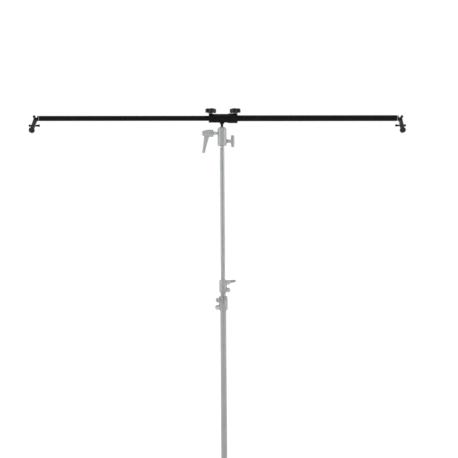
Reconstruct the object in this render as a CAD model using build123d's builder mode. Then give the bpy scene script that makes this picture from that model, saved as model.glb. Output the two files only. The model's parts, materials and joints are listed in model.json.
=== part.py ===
from build123d import *
import os
from math import cos, radians, sin, sqrt, tan

# C-stand with a ball head that carries a telescopic crossbar with an end clamp
# at each end.  Millimetres, +Z up, floor at Z = 0, column on the Z axis,
# crossbar along X, the clamp knobs on the +Y (back) side.

# ---------------------------------------------------------------- dimensions
# Fits
RUNNING = 0.08  # radial play of a pin or screw that turns in its hole
SEAT = 0.02  # radial play of a piece fixed in another
GUIDE = 0.15  # radial play of a plastic bush that slides in a tube
AIR = 0.3  # least gap between a tube and the casting that it slides through
TOUCH = 0.1  # gap between pieces that bear on each other

# Heights above the floor
BAR_Z = 2280.0
COLUMN_BOTTOM = 112.0
LOWER_CLUTCH_BOTTOM = 1157.0
LOWER_CLUTCH_TOP = 1239.0
UPPER_CLUTCH_BOTTOM = 1260.0
UPPER_CLUTCH_TOP = 1335.0
TOP_RISER_TOP = 2106.0
MID_RISER_BOTTOM = 240.0
TOP_RISER_BOTTOM = 1110.0

# Tubes: outer radius and wall
COLUMN_R = 17.5
COLUMN_WALL = 2.0
MID_R = 15.0
MID_WALL = 1.5
TOP_R = 12.7
TOP_WALL = 1.5
BUSH_LENGTH = 40.0

# Base: collars stacked on the column, one bent leg in each
RING_R = 27.0
RING_HEIGHT = 22.0
COLLAR_HEIGHT = 29.5
COLLAR_STEP = 30.0
COLLAR_GAP = 0.4
LEG_R = 12.5
LEG_WALL = 2.0
LEG_START = 26.0
LEG_SHELF = 100.0
LEG_KNEE_Z = 36.0
LEG_SLOPE = 50.0
LEG_REACH = 470.0
LEG_END_Z = 16.0
LEG_BEND = 55.0
BOSS_R = 14.6
BOSS_REACH = 52.0
FOOT_R = 15.0
FOOT_LENGTH = 40.0
FOOT_PAD_WIDTH = 20.0
SPRING_R = 21.5
SPRING_WIRE_R = 1.6
SPRING_ROOM = 28.0
SPRING_TURNS = 4
RING_CHAMFER = 2.0
SET_SCREW_R = 3.0
SET_SCREW_FLOOR = 3.0  # metal left between the set screw hole and the column
PLUG_DEPTH = 22.0
LEG_ANGLES = {"low": 0.0, "mid": 120.0, "high": 240.0}

# Riser clutches
LOWER_SKIN_R = 26.5
UPPER_SKIN_R = 22.5
LUG_R = 13.5
LUG_OFFSET = 7.0  # from the casting's skin to the screw axis
LUG_WIDTH = 32.0
LUG_FACE = 2.0  # step of the machined face round the screw
CLUTCH_CHAMFER = 5.0
LOWER_SEAT = 38.0  # from a clutch's top to the shoulder that its tube stops at
UPPER_SEAT = 36.0
HANDLE_NECK_R = 9.0
HANDLE_END = 6.0  # how far the handle's screw stands out of the far side of its ear
HANDLE_BAR_LIFT = 19.0  # from the handle's foot to the middle of its bar
SLIT = 2.6
SCREW_R = 4.0
PINCH_SCREW_R = 3.5
PINCH_HEAD = 6.0
THREAD_END = 1.5  # how far a bolt stands out of its nut
SOCKET_SHARE = 0.55  # of a cap screw's head: the hexagon socket
SOCKET_DEPTH = 0.6
BOLT_HEAD_R = 7.0
BAR_END_SHARE = 0.8  # a T bar's end radius as a share of its middle radius

# Ball head
SPIGOT_R = 7.94  # five-eighths inch stand spigot
SPIGOT_SHOULDER_R = 10.5
RECEIVER_R = SPIGOT_R + RUNNING
HOUSING_R = 26.0
HOUSING_TOP = BAR_Z - 53.5
HOUSING_BOTTOM = BAR_Z - 161.5
RECEIVER_DEPTH = 51.0
RECEIVER_SCREW_Z = BAR_Z - 134.5
RECEIVER_BOSS_REACH = 31.0
RECEIVER_BOSS_R = 14.0
KNOB_ARM = 20.0  # from the receiver's boss to the T knob's bar
KNOB_ARM_R = 10.5
KNOB_BAR_SPAN = 70.0
KNOB_BAR_R = 11.0
HOUSING_CHAMFER = 8.0
LEVER_Z = BAR_Z - 88.0
BALL_R = 16.0
RACE_R = 19.0
CAVITY_R = 19.3
BALL_Z = BAR_Z - 65.0
MOUTH_R = 15.0
SHOE_R = 9.7
STEM_R = 7.5
STEM_BOSS_R = 13.0

# Clamping lever.  Heights go outwards from the lever's face.
LEVER_FACE = -50.0
LEVER_HUB_R = 21.0
LEVER_HUB_LENGTH = 32.0
LEVER_DOME = 34.0
LEVER_STEP = 28.0  # depth of the lever's lower bore, which fits over the screw's hub
LEVER_SEPTUM = 3.0
LEVER_BORE_R = 9.4
LEVER_SCREW_HUB = (0.5, 16.0)
LEVER_SCREW_HUB_R = 9.0
LEVER_SCREW_CAP = 47.0
LEVER_SCREW_CAP_R = 7.5
SPACER_R = (7.0, 11.5)  # at the housing and at the lever
RATCHET_SPRING_R = 6.0
RATCHET_WIRE_R = 0.8
RATCHET_TURNS = 5

# Crossbar
OUTER_R = 17.5
OUTER_WALL = 1.5
INNER_R = 15.0
INNER_WALL = 1.5
OUTER_END = 1032.0
INNER_END = -1058.0
INNER_INSIDE = 50.0
OUTER_START = -55.0
BLOCK_LEFT = -77.0
BLOCK_RIGHT = 91.0
BLOCK_R = 25.5
BLOCK_CLAMP_R = 28.5
BLOCK_CLAMP_START = 36.0
BLOCK_GROOVE = 18.0
STEM_BOSS_DROP = 6.0  # from the block's underside to the foot of the stem's boss
KNOB_X = {"left": -65.0, "right": 78.0}
KNOB_TURN = {"left": 200.0, "right": -20.0}
KNOB_LIFT = 31.5  # underside of the grip above the bar axis
KNOB_HEIGHT = 25.0
KNOB_REACH = 32.0
KNOB_FLUTE_R = 13.0
KNOB_LOBES = 4
KNOB_NECK_R = 9.5
KNOB_BOSS_R = 11.5

# End clamps.  Reaches go outwards from the tube end, drops go down the clip from
# its tilt bolt, and depths go from the clip's middle plane towards a jaw.
RING_THICKNESS = 5.0
PLUG_LENGTH = 28.0
PLUG_BORE_R = 7.0
KNUCKLE_R = 15.5
KNUCKLE_THICKNESS = 6.0
TILT_REACH = 22.0
TILT_DROP = 5.0
TILT_HEAD = 4.0
TONGUE_R = 9.3
TONGUE_DEPTH = 7.0
CHEEK_DEPTH = 7.4
JAW_THICKNESS = 4.0
JAW_WIDTH = 20.0
NOSE_REACH = 18.0
NOSE_WIDTH = 14.0
WEB_DROP = 17.0
JAW_HINGE_DROP = 25.5
JAW_HINGE_DEPTH = 9.4
JAW_HINGE_R = 3.0
JAW_EAR = 3.0
TRUNNION_R = 1.6
WING_DROP = 36.0
WING_SPAN = 64.0
WING_SCREW_R = 3.0
WING_LIFT = 13.0  # from the grip's foot to the middle of its wings
WING_WAIST_R = 4.5
WING_TIP_R = 7.5
JAW_SPRING_R = 4.6
JAW_SPRING_WIRE_R = 0.7
JAW_SPRING_TURNS = 4
JAW_SPRING_LENGTH = 12.6
PAD_DROP = 67.0
PAD_R = 16.0
JAW_GAP = 6.0
CLAMP_TILT = {"right": 13.0, "left": 20.0}

os.makedirs("parts", exist_ok=True)


# ------------------------------------------------------------------- helpers
def save(piece, name):
    """Label a finished piece and write it as its own STEP file."""
    piece.part.label = name
    export_step(piece.part, f"parts/{name}.step")


def upright(angle, origin=(0, 0, 0)):
    """A plane through origin whose x points along angle and whose y is up."""
    turn = radians(angle)
    return Plane(
        origin=origin,
        x_dir=(cos(turn), sin(turn), 0),
        z_dir=(sin(turn), -cos(turn), 0),
    )


def within(frame, x=0.0, y=0.0, z=0.0, turns=(0, 0, 0)):
    """A plane given by its place and turns in another plane's own axes."""
    return Plane(frame.location * Location((x, y, z), turns))


def turned(frame, outline):
    """A solid of revolution about the frame's z axis from (radius, height) points."""
    profile = Plane(origin=frame.origin, x_dir=frame.x_dir, z_dir=-frame.y_dir)
    with BuildPart() as piece:
        with BuildSketch(profile):
            with BuildLine():
                Polyline(*outline, close=True)
            make_face()
        revolve(axis=Axis(frame.origin, frame.z_dir))
    return piece


def tube(frame, radius, wall, length):
    """A round tube along the frame's z axis."""
    with BuildPart() as piece:
        with BuildSketch(frame):
            Circle(radius)
            Circle(radius - wall, mode=Mode.SUBTRACT)
        extrude(amount=length)
    return piece


def coil(frame, radius, wire_r, turns, length):
    """An open coil spring that stands on the frame's origin."""
    rise = length - 2 * wire_r
    with BuildPart() as piece:
        with BuildLine() as path:
            Helix(
                pitch=rise / turns,
                height=rise,
                radius=radius,
                center=frame.origin + frame.z_dir * wire_r,
                direction=frame.z_dir,
            )
        with BuildSketch(Plane(origin=path.line @ 0, z_dir=path.line % 0)):
            Circle(wire_r)
        sweep()
    return piece


def barrel(frame, span, middle_r, end_r):
    """A round bar along the frame's x axis that swells or narrows towards its middle."""
    with BuildPart() as piece:
        with BuildSketch(frame):
            with BuildLine():
                Line((-span / 2, 0), (span / 2, 0))
                Line((span / 2, 0), (span / 2, end_r * 0.7))
                ThreePointArc(
                    (span / 2, end_r * 0.7),
                    (span / 2 - end_r * 0.15, end_r * 0.92),
                    (span / 2 - end_r * 0.5, end_r),
                )
                ThreePointArc(
                    (span / 2 - end_r * 0.5, end_r),
                    (0, middle_r),
                    (-span / 2 + end_r * 0.5, end_r),
                )
                ThreePointArc(
                    (-span / 2 + end_r * 0.5, end_r),
                    (-span / 2 + end_r * 0.15, end_r * 0.92),
                    (-span / 2, end_r * 0.7),
                )
                Line((-span / 2, end_r * 0.7), (-span / 2, 0))
            make_face()
        revolve(axis=Axis(frame.origin, frame.x_dir))
    return piece


def t_handle(frame, screw_r, screw_length, neck_r, neck, span, bar_r):
    """A clamping screw with a T bar; its screw runs back along the frame's -z."""
    bar = barrel(within(frame, z=neck + bar_r), span, bar_r, bar_r * BAR_END_SHARE)
    with BuildPart() as handle:
        add(bar.part)
        with BuildSketch(frame):
            Circle(neck_r)
        extrude(amount=neck + bar_r, taper=5)
        with BuildSketch(frame.offset(-screw_length)):
            Circle(screw_r)
        extrude(amount=screw_length + 1)
    return handle


def socket_bolt(frame, shank_r, grip, head_r, head):
    """A cap screw and nut: the head stands on the frame's plane, the nut hangs a grip below."""
    with BuildPart() as bolt:
        with BuildSketch(frame):
            Circle(head_r)
        extrude(amount=head)
        with BuildSketch(frame.offset(head)):
            RegularPolygon(head_r * SOCKET_SHARE, 6)
        extrude(amount=-head * SOCKET_DEPTH, mode=Mode.SUBTRACT)
        with BuildSketch(frame):
            Circle(shank_r)
        extrude(amount=-grip)
        with BuildSketch(frame.offset(-grip)):
            RegularPolygon(head_r, 6)
        extrude(amount=-head)
        with BuildSketch(frame.offset(-grip - head)):
            Circle(shank_r)
        extrude(amount=-THREAD_END)
    return bolt


# ---------------------------------------------------------------------- base
def leg_route(exit_z):
    """Leg centreline in the plane of the leg, as (distance from column, height)."""
    knee = LEG_SHELF + (exit_z - LEG_KNEE_Z) / tan(radians(LEG_SLOPE))
    return [
        (LEG_START, exit_z),
        (LEG_SHELF, exit_z),
        (knee, LEG_KNEE_Z),
        (LEG_REACH, LEG_END_Z),
    ]


def leg_tube(angle, exit_z):
    plane = upright(angle)
    with BuildPart() as leg:
        with BuildLine(plane) as path:
            FilletPolyline(*leg_route(exit_z), radius=LEG_BEND)
        with BuildSketch(Plane(origin=path.line @ 0, z_dir=path.line % 0)):
            Circle(LEG_R)
            Circle(LEG_R - LEG_WALL, mode=Mode.SUBTRACT)
        sweep()
    return leg


def leg_collar(angle, bottom, fixed):
    middle = bottom + COLLAR_HEIGHT / 2
    bore_r = COLUMN_R + (SEAT if fixed else AIR)
    outwards = Plane(origin=(0, 0, middle), x_dir=(0, 0, 1), z_dir=upright(angle).x_dir)
    with BuildPart() as collar:
        with BuildSketch(Plane.XY.offset(bottom)):
            Circle(RING_R)
        extrude(amount=COLLAR_HEIGHT)
        chamfer(collar.edges().filter_by(GeomType.CIRCLE), 1.5)
        with BuildSketch(outwards):
            Circle(BOSS_R)
        extrude(amount=BOSS_REACH)
        with BuildSketch(outwards.offset(LEG_START)):
            Circle(LEG_R + SEAT)
        extrude(amount=BOSS_REACH, mode=Mode.SUBTRACT)
        with BuildSketch(Plane.XY.offset(bottom)):
            Circle(bore_r)
        extrude(amount=COLLAR_HEIGHT, mode=Mode.SUBTRACT)
    return collar


def foot_cap(angle, exit_z):
    """A rubber cap on the leg's end with a flat pad that rests on the floor."""
    plane = upright(angle)
    knee, end = leg_route(exit_z)[-2:]
    run = Vector(*end) - Vector(*knee)
    along = plane.x_dir * run.X + plane.y_dir * run.Y
    tip = plane.from_local_coords(Vector(*end))
    sleeve = Plane(origin=tip, z_dir=along)
    pad = within(plane, x=LEG_REACH - FOOT_LENGTH / 2 + 2, y=FOOT_R / 2)
    with BuildPart() as cap:
        with BuildSketch(sleeve.offset(-FOOT_LENGTH)):
            Circle(FOOT_R)
        extrude(amount=FOOT_LENGTH + 5)
        fillet(cap.edges().group_by(SortBy.DISTANCE)[-1], 2)
        with BuildSketch(pad):
            RectangleRounded(FOOT_LENGTH * 0.85, FOOT_R, 3)
        extrude(amount=FOOT_PAD_WIDTH / 2, both=True)
        with BuildSketch(sleeve.offset(-FOOT_LENGTH - FOOT_LENGTH)):
            Circle(LEG_R + SEAT)
        extrude(amount=2 * FOOT_LENGTH, mode=Mode.SUBTRACT)
        split(bisect_by=Plane.XY, keep=Keep.TOP)
    return cap


stack = COLUMN_BOTTOM + RING_HEIGHT + COLLAR_GAP
for name, angle in LEG_ANGLES.items():
    exit_height = stack + COLLAR_HEIGHT / 2
    save(leg_tube(angle, exit_height), f"leg_{name}")
    save(leg_collar(angle, stack, fixed=name == "low"), f"leg_collar_{name}")
    save(foot_cap(angle, exit_height), f"foot_cap_{name}")
    stack += COLLAR_STEP


def stop_ring(bottom, height):
    """A ring pinned to the column with one socket set screw hole."""
    with BuildPart() as ring:
        with BuildSketch(Plane.XY.offset(bottom)):
            Circle(RING_R)
            Circle(COLUMN_R + SEAT, mode=Mode.SUBTRACT)
        extrude(amount=height)
        chamfer(ring.edges().filter_by(GeomType.CIRCLE).group_by(SortBy.RADIUS)[-1], RING_CHAMFER)
        with BuildSketch(Plane.YZ.offset(-RING_R)):
            with Locations((0, bottom + height / 2)):
                Circle(SET_SCREW_R)
        extrude(amount=RING_R - COLUMN_R - SET_SCREW_FLOOR, mode=Mode.SUBTRACT)
    return ring


save(stop_ring(COLUMN_BOTTOM, RING_HEIGHT), "base_ring")
leg_spring = coil(Plane.XY.offset(stack), SPRING_R, SPRING_WIRE_R, SPRING_TURNS, SPRING_ROOM)
save(leg_spring, "leg_spring")
save(stop_ring(stack + SPRING_ROOM + COLLAR_GAP, RING_HEIGHT), "spring_collar")

# The column, open at the top inside the lower clutch and plugged at the bottom
LOWER_SHOULDER = LOWER_CLUTCH_TOP - LOWER_SEAT
UPPER_SHOULDER = UPPER_CLUTCH_TOP - UPPER_SEAT
base_column = tube(
    Plane.XY.offset(COLUMN_BOTTOM), COLUMN_R, COLUMN_WALL, LOWER_SHOULDER - COLUMN_BOTTOM
)
save(base_column, "base_column")

PLUG_R = COLUMN_R - COLUMN_WALL - SEAT
column_plug = turned(
    Plane.XY.offset(COLUMN_BOTTOM),
    [
        (0, -6),
        (COLUMN_R - 2, -6),
        (COLUMN_R, -4),
        (COLUMN_R, 0),
        (PLUG_R, 0),
        (PLUG_R, PLUG_DEPTH),
        (0, PLUG_DEPTH),
    ],
)
save(column_plug, "column_plug")


# ------------------------------------------------------------ riser clutches
def clutch_casting(bottom, top, shoulder, skin_r, tube_r, riser_r, lug, boss):
    """A clutch fixed on a tube end: lug is split and clamps the riser, boss pinches the tube.

    lug and boss are (angle, height) of a round ear on the casting's side.
    """
    with BuildPart() as casting:
        with BuildSketch(Plane.XY.offset(bottom)):
            Circle(skin_r)
        extrude(amount=top - bottom)
        chamfer(casting.edges().group_by(Axis.Z)[-1], CLUTCH_CHAMFER)
        chamfer(casting.edges().group_by(Axis.Z)[0], CLUTCH_CHAMFER)
        for angle, height in (lug, boss):
            side = upright(angle, (0, 0, height))
            with BuildSketch(side):
                with Locations((skin_r + LUG_OFFSET, 0)):
                    Circle(LUG_R)
                with Locations(((skin_r + LUG_OFFSET) / 2, 0)):
                    Rectangle(skin_r + LUG_OFFSET, LUG_R * 1.5)
            extrude(amount=LUG_WIDTH / 2 - LUG_FACE, both=True)
            with BuildSketch(side):
                with Locations((skin_r + LUG_OFFSET, 0)):
                    Circle(LUG_R - LUG_FACE)
            extrude(amount=LUG_WIDTH / 2, both=True)
            with BuildSketch(side):
                with Locations((skin_r + LUG_OFFSET, 0)):
                    Circle(SCREW_R + RUNNING)
            extrude(amount=LUG_WIDTH, both=True, mode=Mode.SUBTRACT)
        with BuildSketch(Plane.XY.offset(bottom)):
            Circle(tube_r + SEAT)
        extrude(amount=shoulder - bottom, mode=Mode.SUBTRACT)
        with BuildSketch(Plane.XY.offset(bottom)):
            Circle(riser_r + AIR)
        extrude(amount=top - bottom, mode=Mode.SUBTRACT)
        slit_reach = skin_r + LUG_OFFSET + LUG_R + 1
        with BuildSketch(upright(lug[0], (0, 0, lug[1]))):
            with Locations((slit_reach / 2, (top - lug[1] - LUG_R) / 2)):
                Rectangle(slit_reach, top - lug[1] + LUG_R)
        extrude(amount=SLIT / 2, both=True, mode=Mode.SUBTRACT)
    return casting


def clutch(name, bottom, top, shoulder, skin_r, tube_r, riser_r, lug, boss, handle_side, bar):
    """The casting with its T handle and its pinch bolt.

    bar is the (span, radius, tilt) of the handle's bar.
    """
    span, bar_r, bar_tilt = bar
    casting = clutch_casting(bottom, top, shoulder, skin_r, tube_r, riser_r, lug, boss)
    save(casting, f"{name}_clutch_casting")
    reach = skin_r + LUG_OFFSET
    face = LUG_WIDTH / 2 + AIR
    lug_plane = upright(lug[0], (0, 0, lug[1]))
    outwards = within(lug_plane, x=reach, z=-handle_side * face, turns=(90 + handle_side * 90, 0, bar_tilt))
    neck = HANDLE_BAR_LIFT - bar_r
    handle = t_handle(outwards, SCREW_R, 2 * face + HANDLE_END, HANDLE_NECK_R, neck, span, bar_r)
    save(handle, f"{name}_clutch_t_handle")
    boss_plane = upright(boss[0], (0, 0, boss[1]))
    bolt_face = within(boss_plane, x=reach, z=LUG_WIDTH / 2)
    bolt = socket_bolt(bolt_face, PINCH_SCREW_R, LUG_WIDTH, BOLT_HEAD_R, PINCH_HEAD)
    save(bolt, f"{name}_clutch_bolt")


clutch(
    "lower",
    LOWER_CLUTCH_BOTTOM,
    LOWER_CLUTCH_TOP,
    LOWER_SHOULDER,
    LOWER_SKIN_R,
    COLUMN_R,
    MID_R,
    lug=(-90.0, LOWER_CLUTCH_TOP - 20),
    boss=(180.0, LOWER_CLUTCH_BOTTOM + 17),
    handle_side=-1,
    bar=(52.0, 10.0, -12.0),
)
clutch(
    "upper",
    UPPER_CLUTCH_BOTTOM,
    UPPER_CLUTCH_TOP,
    UPPER_SHOULDER,
    UPPER_SKIN_R,
    MID_R,
    TOP_R,
    lug=(0.0, UPPER_CLUTCH_TOP - 15),
    boss=(0.0, UPPER_CLUTCH_BOTTOM + 15),
    handle_side=1,
    bar=(95.0, 9.5, -8.0),
)


# -------------------------------------------------------------------- risers
def riser_bush(bottom, tube_r, wall, guide_r):
    """A plastic bush pressed into a riser's bottom end that guides it in the tube outside."""
    inner = tube_r - wall - SEAT
    return turned(
        Plane.XY.offset(bottom),
        [
            (inner - 2, -BUSH_LENGTH / 2),
            (guide_r - 1, -BUSH_LENGTH / 2),
            (guide_r, -BUSH_LENGTH / 2 + 2),
            (guide_r, 0),
            (inner, 0),
            (inner, BUSH_LENGTH / 2),
            (inner - 2, BUSH_LENGTH / 2),
        ],
    )


mid_riser = tube(
    Plane.XY.offset(MID_RISER_BOTTOM), MID_R, MID_WALL, UPPER_SHOULDER - MID_RISER_BOTTOM
)
save(mid_riser, "mid_riser")
save(riser_bush(MID_RISER_BOTTOM, MID_R, MID_WALL, COLUMN_R - COLUMN_WALL - GUIDE), "mid_riser_bush")

top_riser = tube(
    Plane.XY.offset(TOP_RISER_BOTTOM), TOP_R, TOP_WALL, TOP_RISER_TOP - TOP_RISER_BOTTOM
)
save(top_riser, "top_riser")
save(riser_bush(TOP_RISER_BOTTOM, TOP_R, TOP_WALL, MID_R - MID_WALL - GUIDE), "top_riser_bush")

# Spigot plugged into the top riser, with the waist that the receiver screw bears on
SPIGOT_TOP = HOUSING_BOTTOM + RECEIVER_DEPTH - 3 - TOP_RISER_TOP
WAIST = RECEIVER_SCREW_Z - TOP_RISER_TOP
SPIGOT_PLUG_R = TOP_R - TOP_WALL - SEAT
top_spigot = turned(
    Plane.XY.offset(TOP_RISER_TOP),
    [
        (0, -30),
        (SPIGOT_PLUG_R, -30),
        (SPIGOT_PLUG_R, 0),
        (TOP_R - 0.5, 0),
        (TOP_R - 0.5, 3),
        (SPIGOT_SHOULDER_R, 5),
        (SPIGOT_SHOULDER_R, HOUSING_BOTTOM - TOP_RISER_TOP - 1),
        (SPIGOT_R, HOUSING_BOTTOM - TOP_RISER_TOP - 1),
        (SPIGOT_R, WAIST - 9),
        (SPIGOT_R - 2, WAIST - 6),
        (SPIGOT_R - 2, WAIST + 6),
        (SPIGOT_R, WAIST + 9),
        (SPIGOT_R, SPIGOT_TOP - 1.5),
        (SPIGOT_R - 1.5, SPIGOT_TOP),
        (0, SPIGOT_TOP),
    ],
)
save(top_spigot, "top_spigot")


# ----------------------------------------------------------------- ball head
def head_housing():
    with BuildPart() as housing:
        with BuildSketch(Plane.XY.offset(HOUSING_BOTTOM)):
            Circle(HOUSING_R)
        extrude(amount=HOUSING_TOP - HOUSING_BOTTOM)
        chamfer(housing.edges().group_by(Axis.Z)[-1], HOUSING_CHAMFER)
        chamfer(housing.edges().group_by(Axis.Z)[0], 1.5)
        with BuildSketch(Plane.YZ):
            with Locations((0, RECEIVER_SCREW_Z)):
                Circle(RECEIVER_BOSS_R)
        extrude(amount=RECEIVER_BOSS_REACH, taper=3)
        with BuildSketch(Plane.XY.offset(HOUSING_BOTTOM)):
            Circle(RECEIVER_R)
        extrude(amount=RECEIVER_DEPTH, mode=Mode.SUBTRACT)
        with Locations((0, 0, BALL_Z)):
            Sphere(CAVITY_R, mode=Mode.SUBTRACT)
        with BuildSketch(Plane.XY.offset(BALL_Z)):
            Circle(MOUTH_R + AIR)
        extrude(amount=2 * CAVITY_R, mode=Mode.SUBTRACT)
        with BuildSketch(Plane.XY.offset(LEVER_Z - 6)):
            Circle(SHOE_R + AIR)
        extrude(amount=BALL_Z - LEVER_Z, mode=Mode.SUBTRACT)
        with BuildSketch(Plane.YZ):
            with Locations((0, RECEIVER_SCREW_Z)):
                Circle(SCREW_R + RUNNING)
        extrude(amount=2 * HOUSING_R, mode=Mode.SUBTRACT)
        with BuildSketch(Plane.YZ):
            with Locations((0, LEVER_Z)):
                Circle(SCREW_R + RUNNING)
        extrude(amount=-2 * HOUSING_R, mode=Mode.SUBTRACT)
    return housing


save(head_housing(), "head_housing")

# Plastic race between the ball and the housing, open at the top for the stem
race_top = sqrt(RACE_R**2 - (MOUTH_R - 0.6) ** 2)
with BuildPart() as ball_race:
    with Locations((0, 0, BALL_Z)):
        Sphere(RACE_R)
        Sphere(BALL_R + RUNNING, mode=Mode.SUBTRACT)
    split(bisect_by=Plane.XY.offset(BALL_Z + race_top - 6), keep=Keep.BOTTOM)
    split(bisect_by=Plane.XY.offset(BALL_Z - race_top + 2), keep=Keep.TOP)
save(ball_race, "ball_race")

# Pressure shoe under the race, pushed up by the lever screw's coned tip
with BuildPart() as ball_shoe:
    with BuildSketch(Plane.XY.offset(LEVER_Z - 5)):
        Circle(SHOE_R)
    extrude(amount=BALL_Z - LEVER_Z)
    with Locations((0, 0, BALL_Z)):
        Sphere(RACE_R + AIR, mode=Mode.SUBTRACT)
    with BuildSketch(Plane.YZ):
        with Locations((0, LEVER_Z)):
            Circle(SCREW_R + AIR)
    extrude(amount=-2 * HOUSING_R, mode=Mode.SUBTRACT)
save(ball_shoe, "ball_shoe")

receiver_frame = Plane(
    origin=(RECEIVER_BOSS_REACH + AIR, 0, RECEIVER_SCREW_Z),
    x_dir=(0, 0, 1),
    z_dir=(1, 0, 0),
)
receiver_screw = RECEIVER_BOSS_REACH - SPIGOT_R + 1
receiver_t_knob = t_handle(
    receiver_frame, SCREW_R, receiver_screw, KNOB_ARM_R, KNOB_ARM, KNOB_BAR_SPAN, KNOB_BAR_R
)
save(receiver_t_knob, "receiver_t_knob")

# Clamping lever: a screw with a hub, and a lever that lifts off the hub to re-index
lever_frame = Plane(origin=(LEVER_FACE, 0, LEVER_Z), x_dir=(0, 0, -1), z_dir=(-1, 0, 0))
ratchet_screw = turned(
    lever_frame,
    [
        (0, LEVER_FACE + 2),
        (1.5, LEVER_FACE + 2),
        (SCREW_R, LEVER_FACE + 5),
        (SCREW_R, LEVER_SCREW_HUB[0]),
        (LEVER_SCREW_HUB_R, LEVER_SCREW_HUB[0]),
        (LEVER_SCREW_HUB_R, LEVER_SCREW_HUB[1]),
        (SCREW_R, LEVER_SCREW_HUB[1]),
        (SCREW_R, LEVER_SCREW_CAP),
        (LEVER_SCREW_CAP_R, LEVER_SCREW_CAP),
        (LEVER_SCREW_CAP_R, LEVER_SCREW_CAP + 3),
        (0, LEVER_SCREW_CAP + 3),
    ],
)
save(ratchet_screw, "ratchet_screw")

# A cone that bridges the gap from the housing to the lever's hub
SPACER_LENGTH = -LEVER_FACE - HOUSING_R
spacer_washer = turned(
    within(lever_frame, z=-SPACER_LENGTH),
    [
        (SCREW_R + RUNNING, AIR),
        (SPACER_R[0], AIR),
        (SPACER_R[0] + 1, 3),
        (SPACER_R[1], SPACER_LENGTH - 3),
        (SPACER_R[1], SPACER_LENGTH),
        (SCREW_R + RUNNING, SPACER_LENGTH),
    ],
)
save(spacer_washer, "spacer_washer")

# The spring between the lever's septum and the screw's cap, which lets the lever be pulled
spring_seat = LEVER_STEP + LEVER_SEPTUM + 2 * TOUCH
ratchet_spring = coil(
    within(lever_frame, z=spring_seat),
    RATCHET_SPRING_R,
    RATCHET_WIRE_R,
    RATCHET_TURNS,
    LEVER_SCREW_CAP - 2 * TOUCH - spring_seat,
)
save(ratchet_spring, "ratchet_spring")


def ratchet_lever():
    """The lever: a bored hub with a domed end and an arm that tapers to its tip."""
    arm_root = within(lever_frame, z=LEVER_HUB_LENGTH)
    with BuildPart() as lever:
        with BuildSketch(within(lever_frame, z=1)):
            Circle(LEVER_HUB_R)
        extrude(amount=LEVER_HUB_LENGTH)
        with BuildSketch(within(lever_frame, z=1 + LEVER_HUB_LENGTH)):
            Circle(LEVER_HUB_R)
        extrude(amount=LEVER_DOME, taper=12)
        fillet(lever.edges().group_by(Axis.X)[0], 9)
        with BuildSketch(within(arm_root, x=8, z=6, turns=(0, 90, 0))):
            Ellipse(17, 13)
        with BuildSketch(within(arm_root, x=62, z=17, turns=(0, 90, 0))):
            Ellipse(11, 9)
        with BuildSketch(within(arm_root, x=114, z=27, turns=(0, 90, 0))):
            Ellipse(8, 6.5)
        loft()
        with BuildSketch(lever_frame):
            Circle(LEVER_BORE_R)
        extrude(amount=LEVER_STEP, mode=Mode.SUBTRACT)
        with BuildSketch(lever_frame):
            Circle(SCREW_R + AIR)
        extrude(amount=LEVER_HUB_LENGTH, mode=Mode.SUBTRACT)
        with BuildSketch(within(lever_frame, z=LEVER_STEP + LEVER_SEPTUM)):
            Circle(LEVER_BORE_R)
        extrude(amount=2 * LEVER_DOME, mode=Mode.SUBTRACT)
    return lever


save(ratchet_lever(), "ratchet_lever")

# Ball with the stem that screws into the crossbar's block
BALL_TOP = sqrt(BALL_R**2 - STEM_R**2)
STEM_BOSS_BOTTOM = BAR_Z - BLOCK_R - STEM_BOSS_DROP
STEM_TOP = BAR_Z - OUTER_R - 1.5
with BuildPart() as ball_stud:
    with Locations((0, 0, BALL_Z)):
        Sphere(BALL_R)
    with BuildSketch(Plane.XY.offset(BALL_Z + BALL_TOP - 2)):
        Circle(STEM_R)
    extrude(amount=STEM_TOP - BALL_Z - BALL_TOP + 2)
    with BuildSketch(Plane.XY.offset(STEM_BOSS_BOTTOM - 6)):
        Circle(STEM_R + 1.5)
    extrude(amount=6)
save(ball_stud, "ball_stud")


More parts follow.
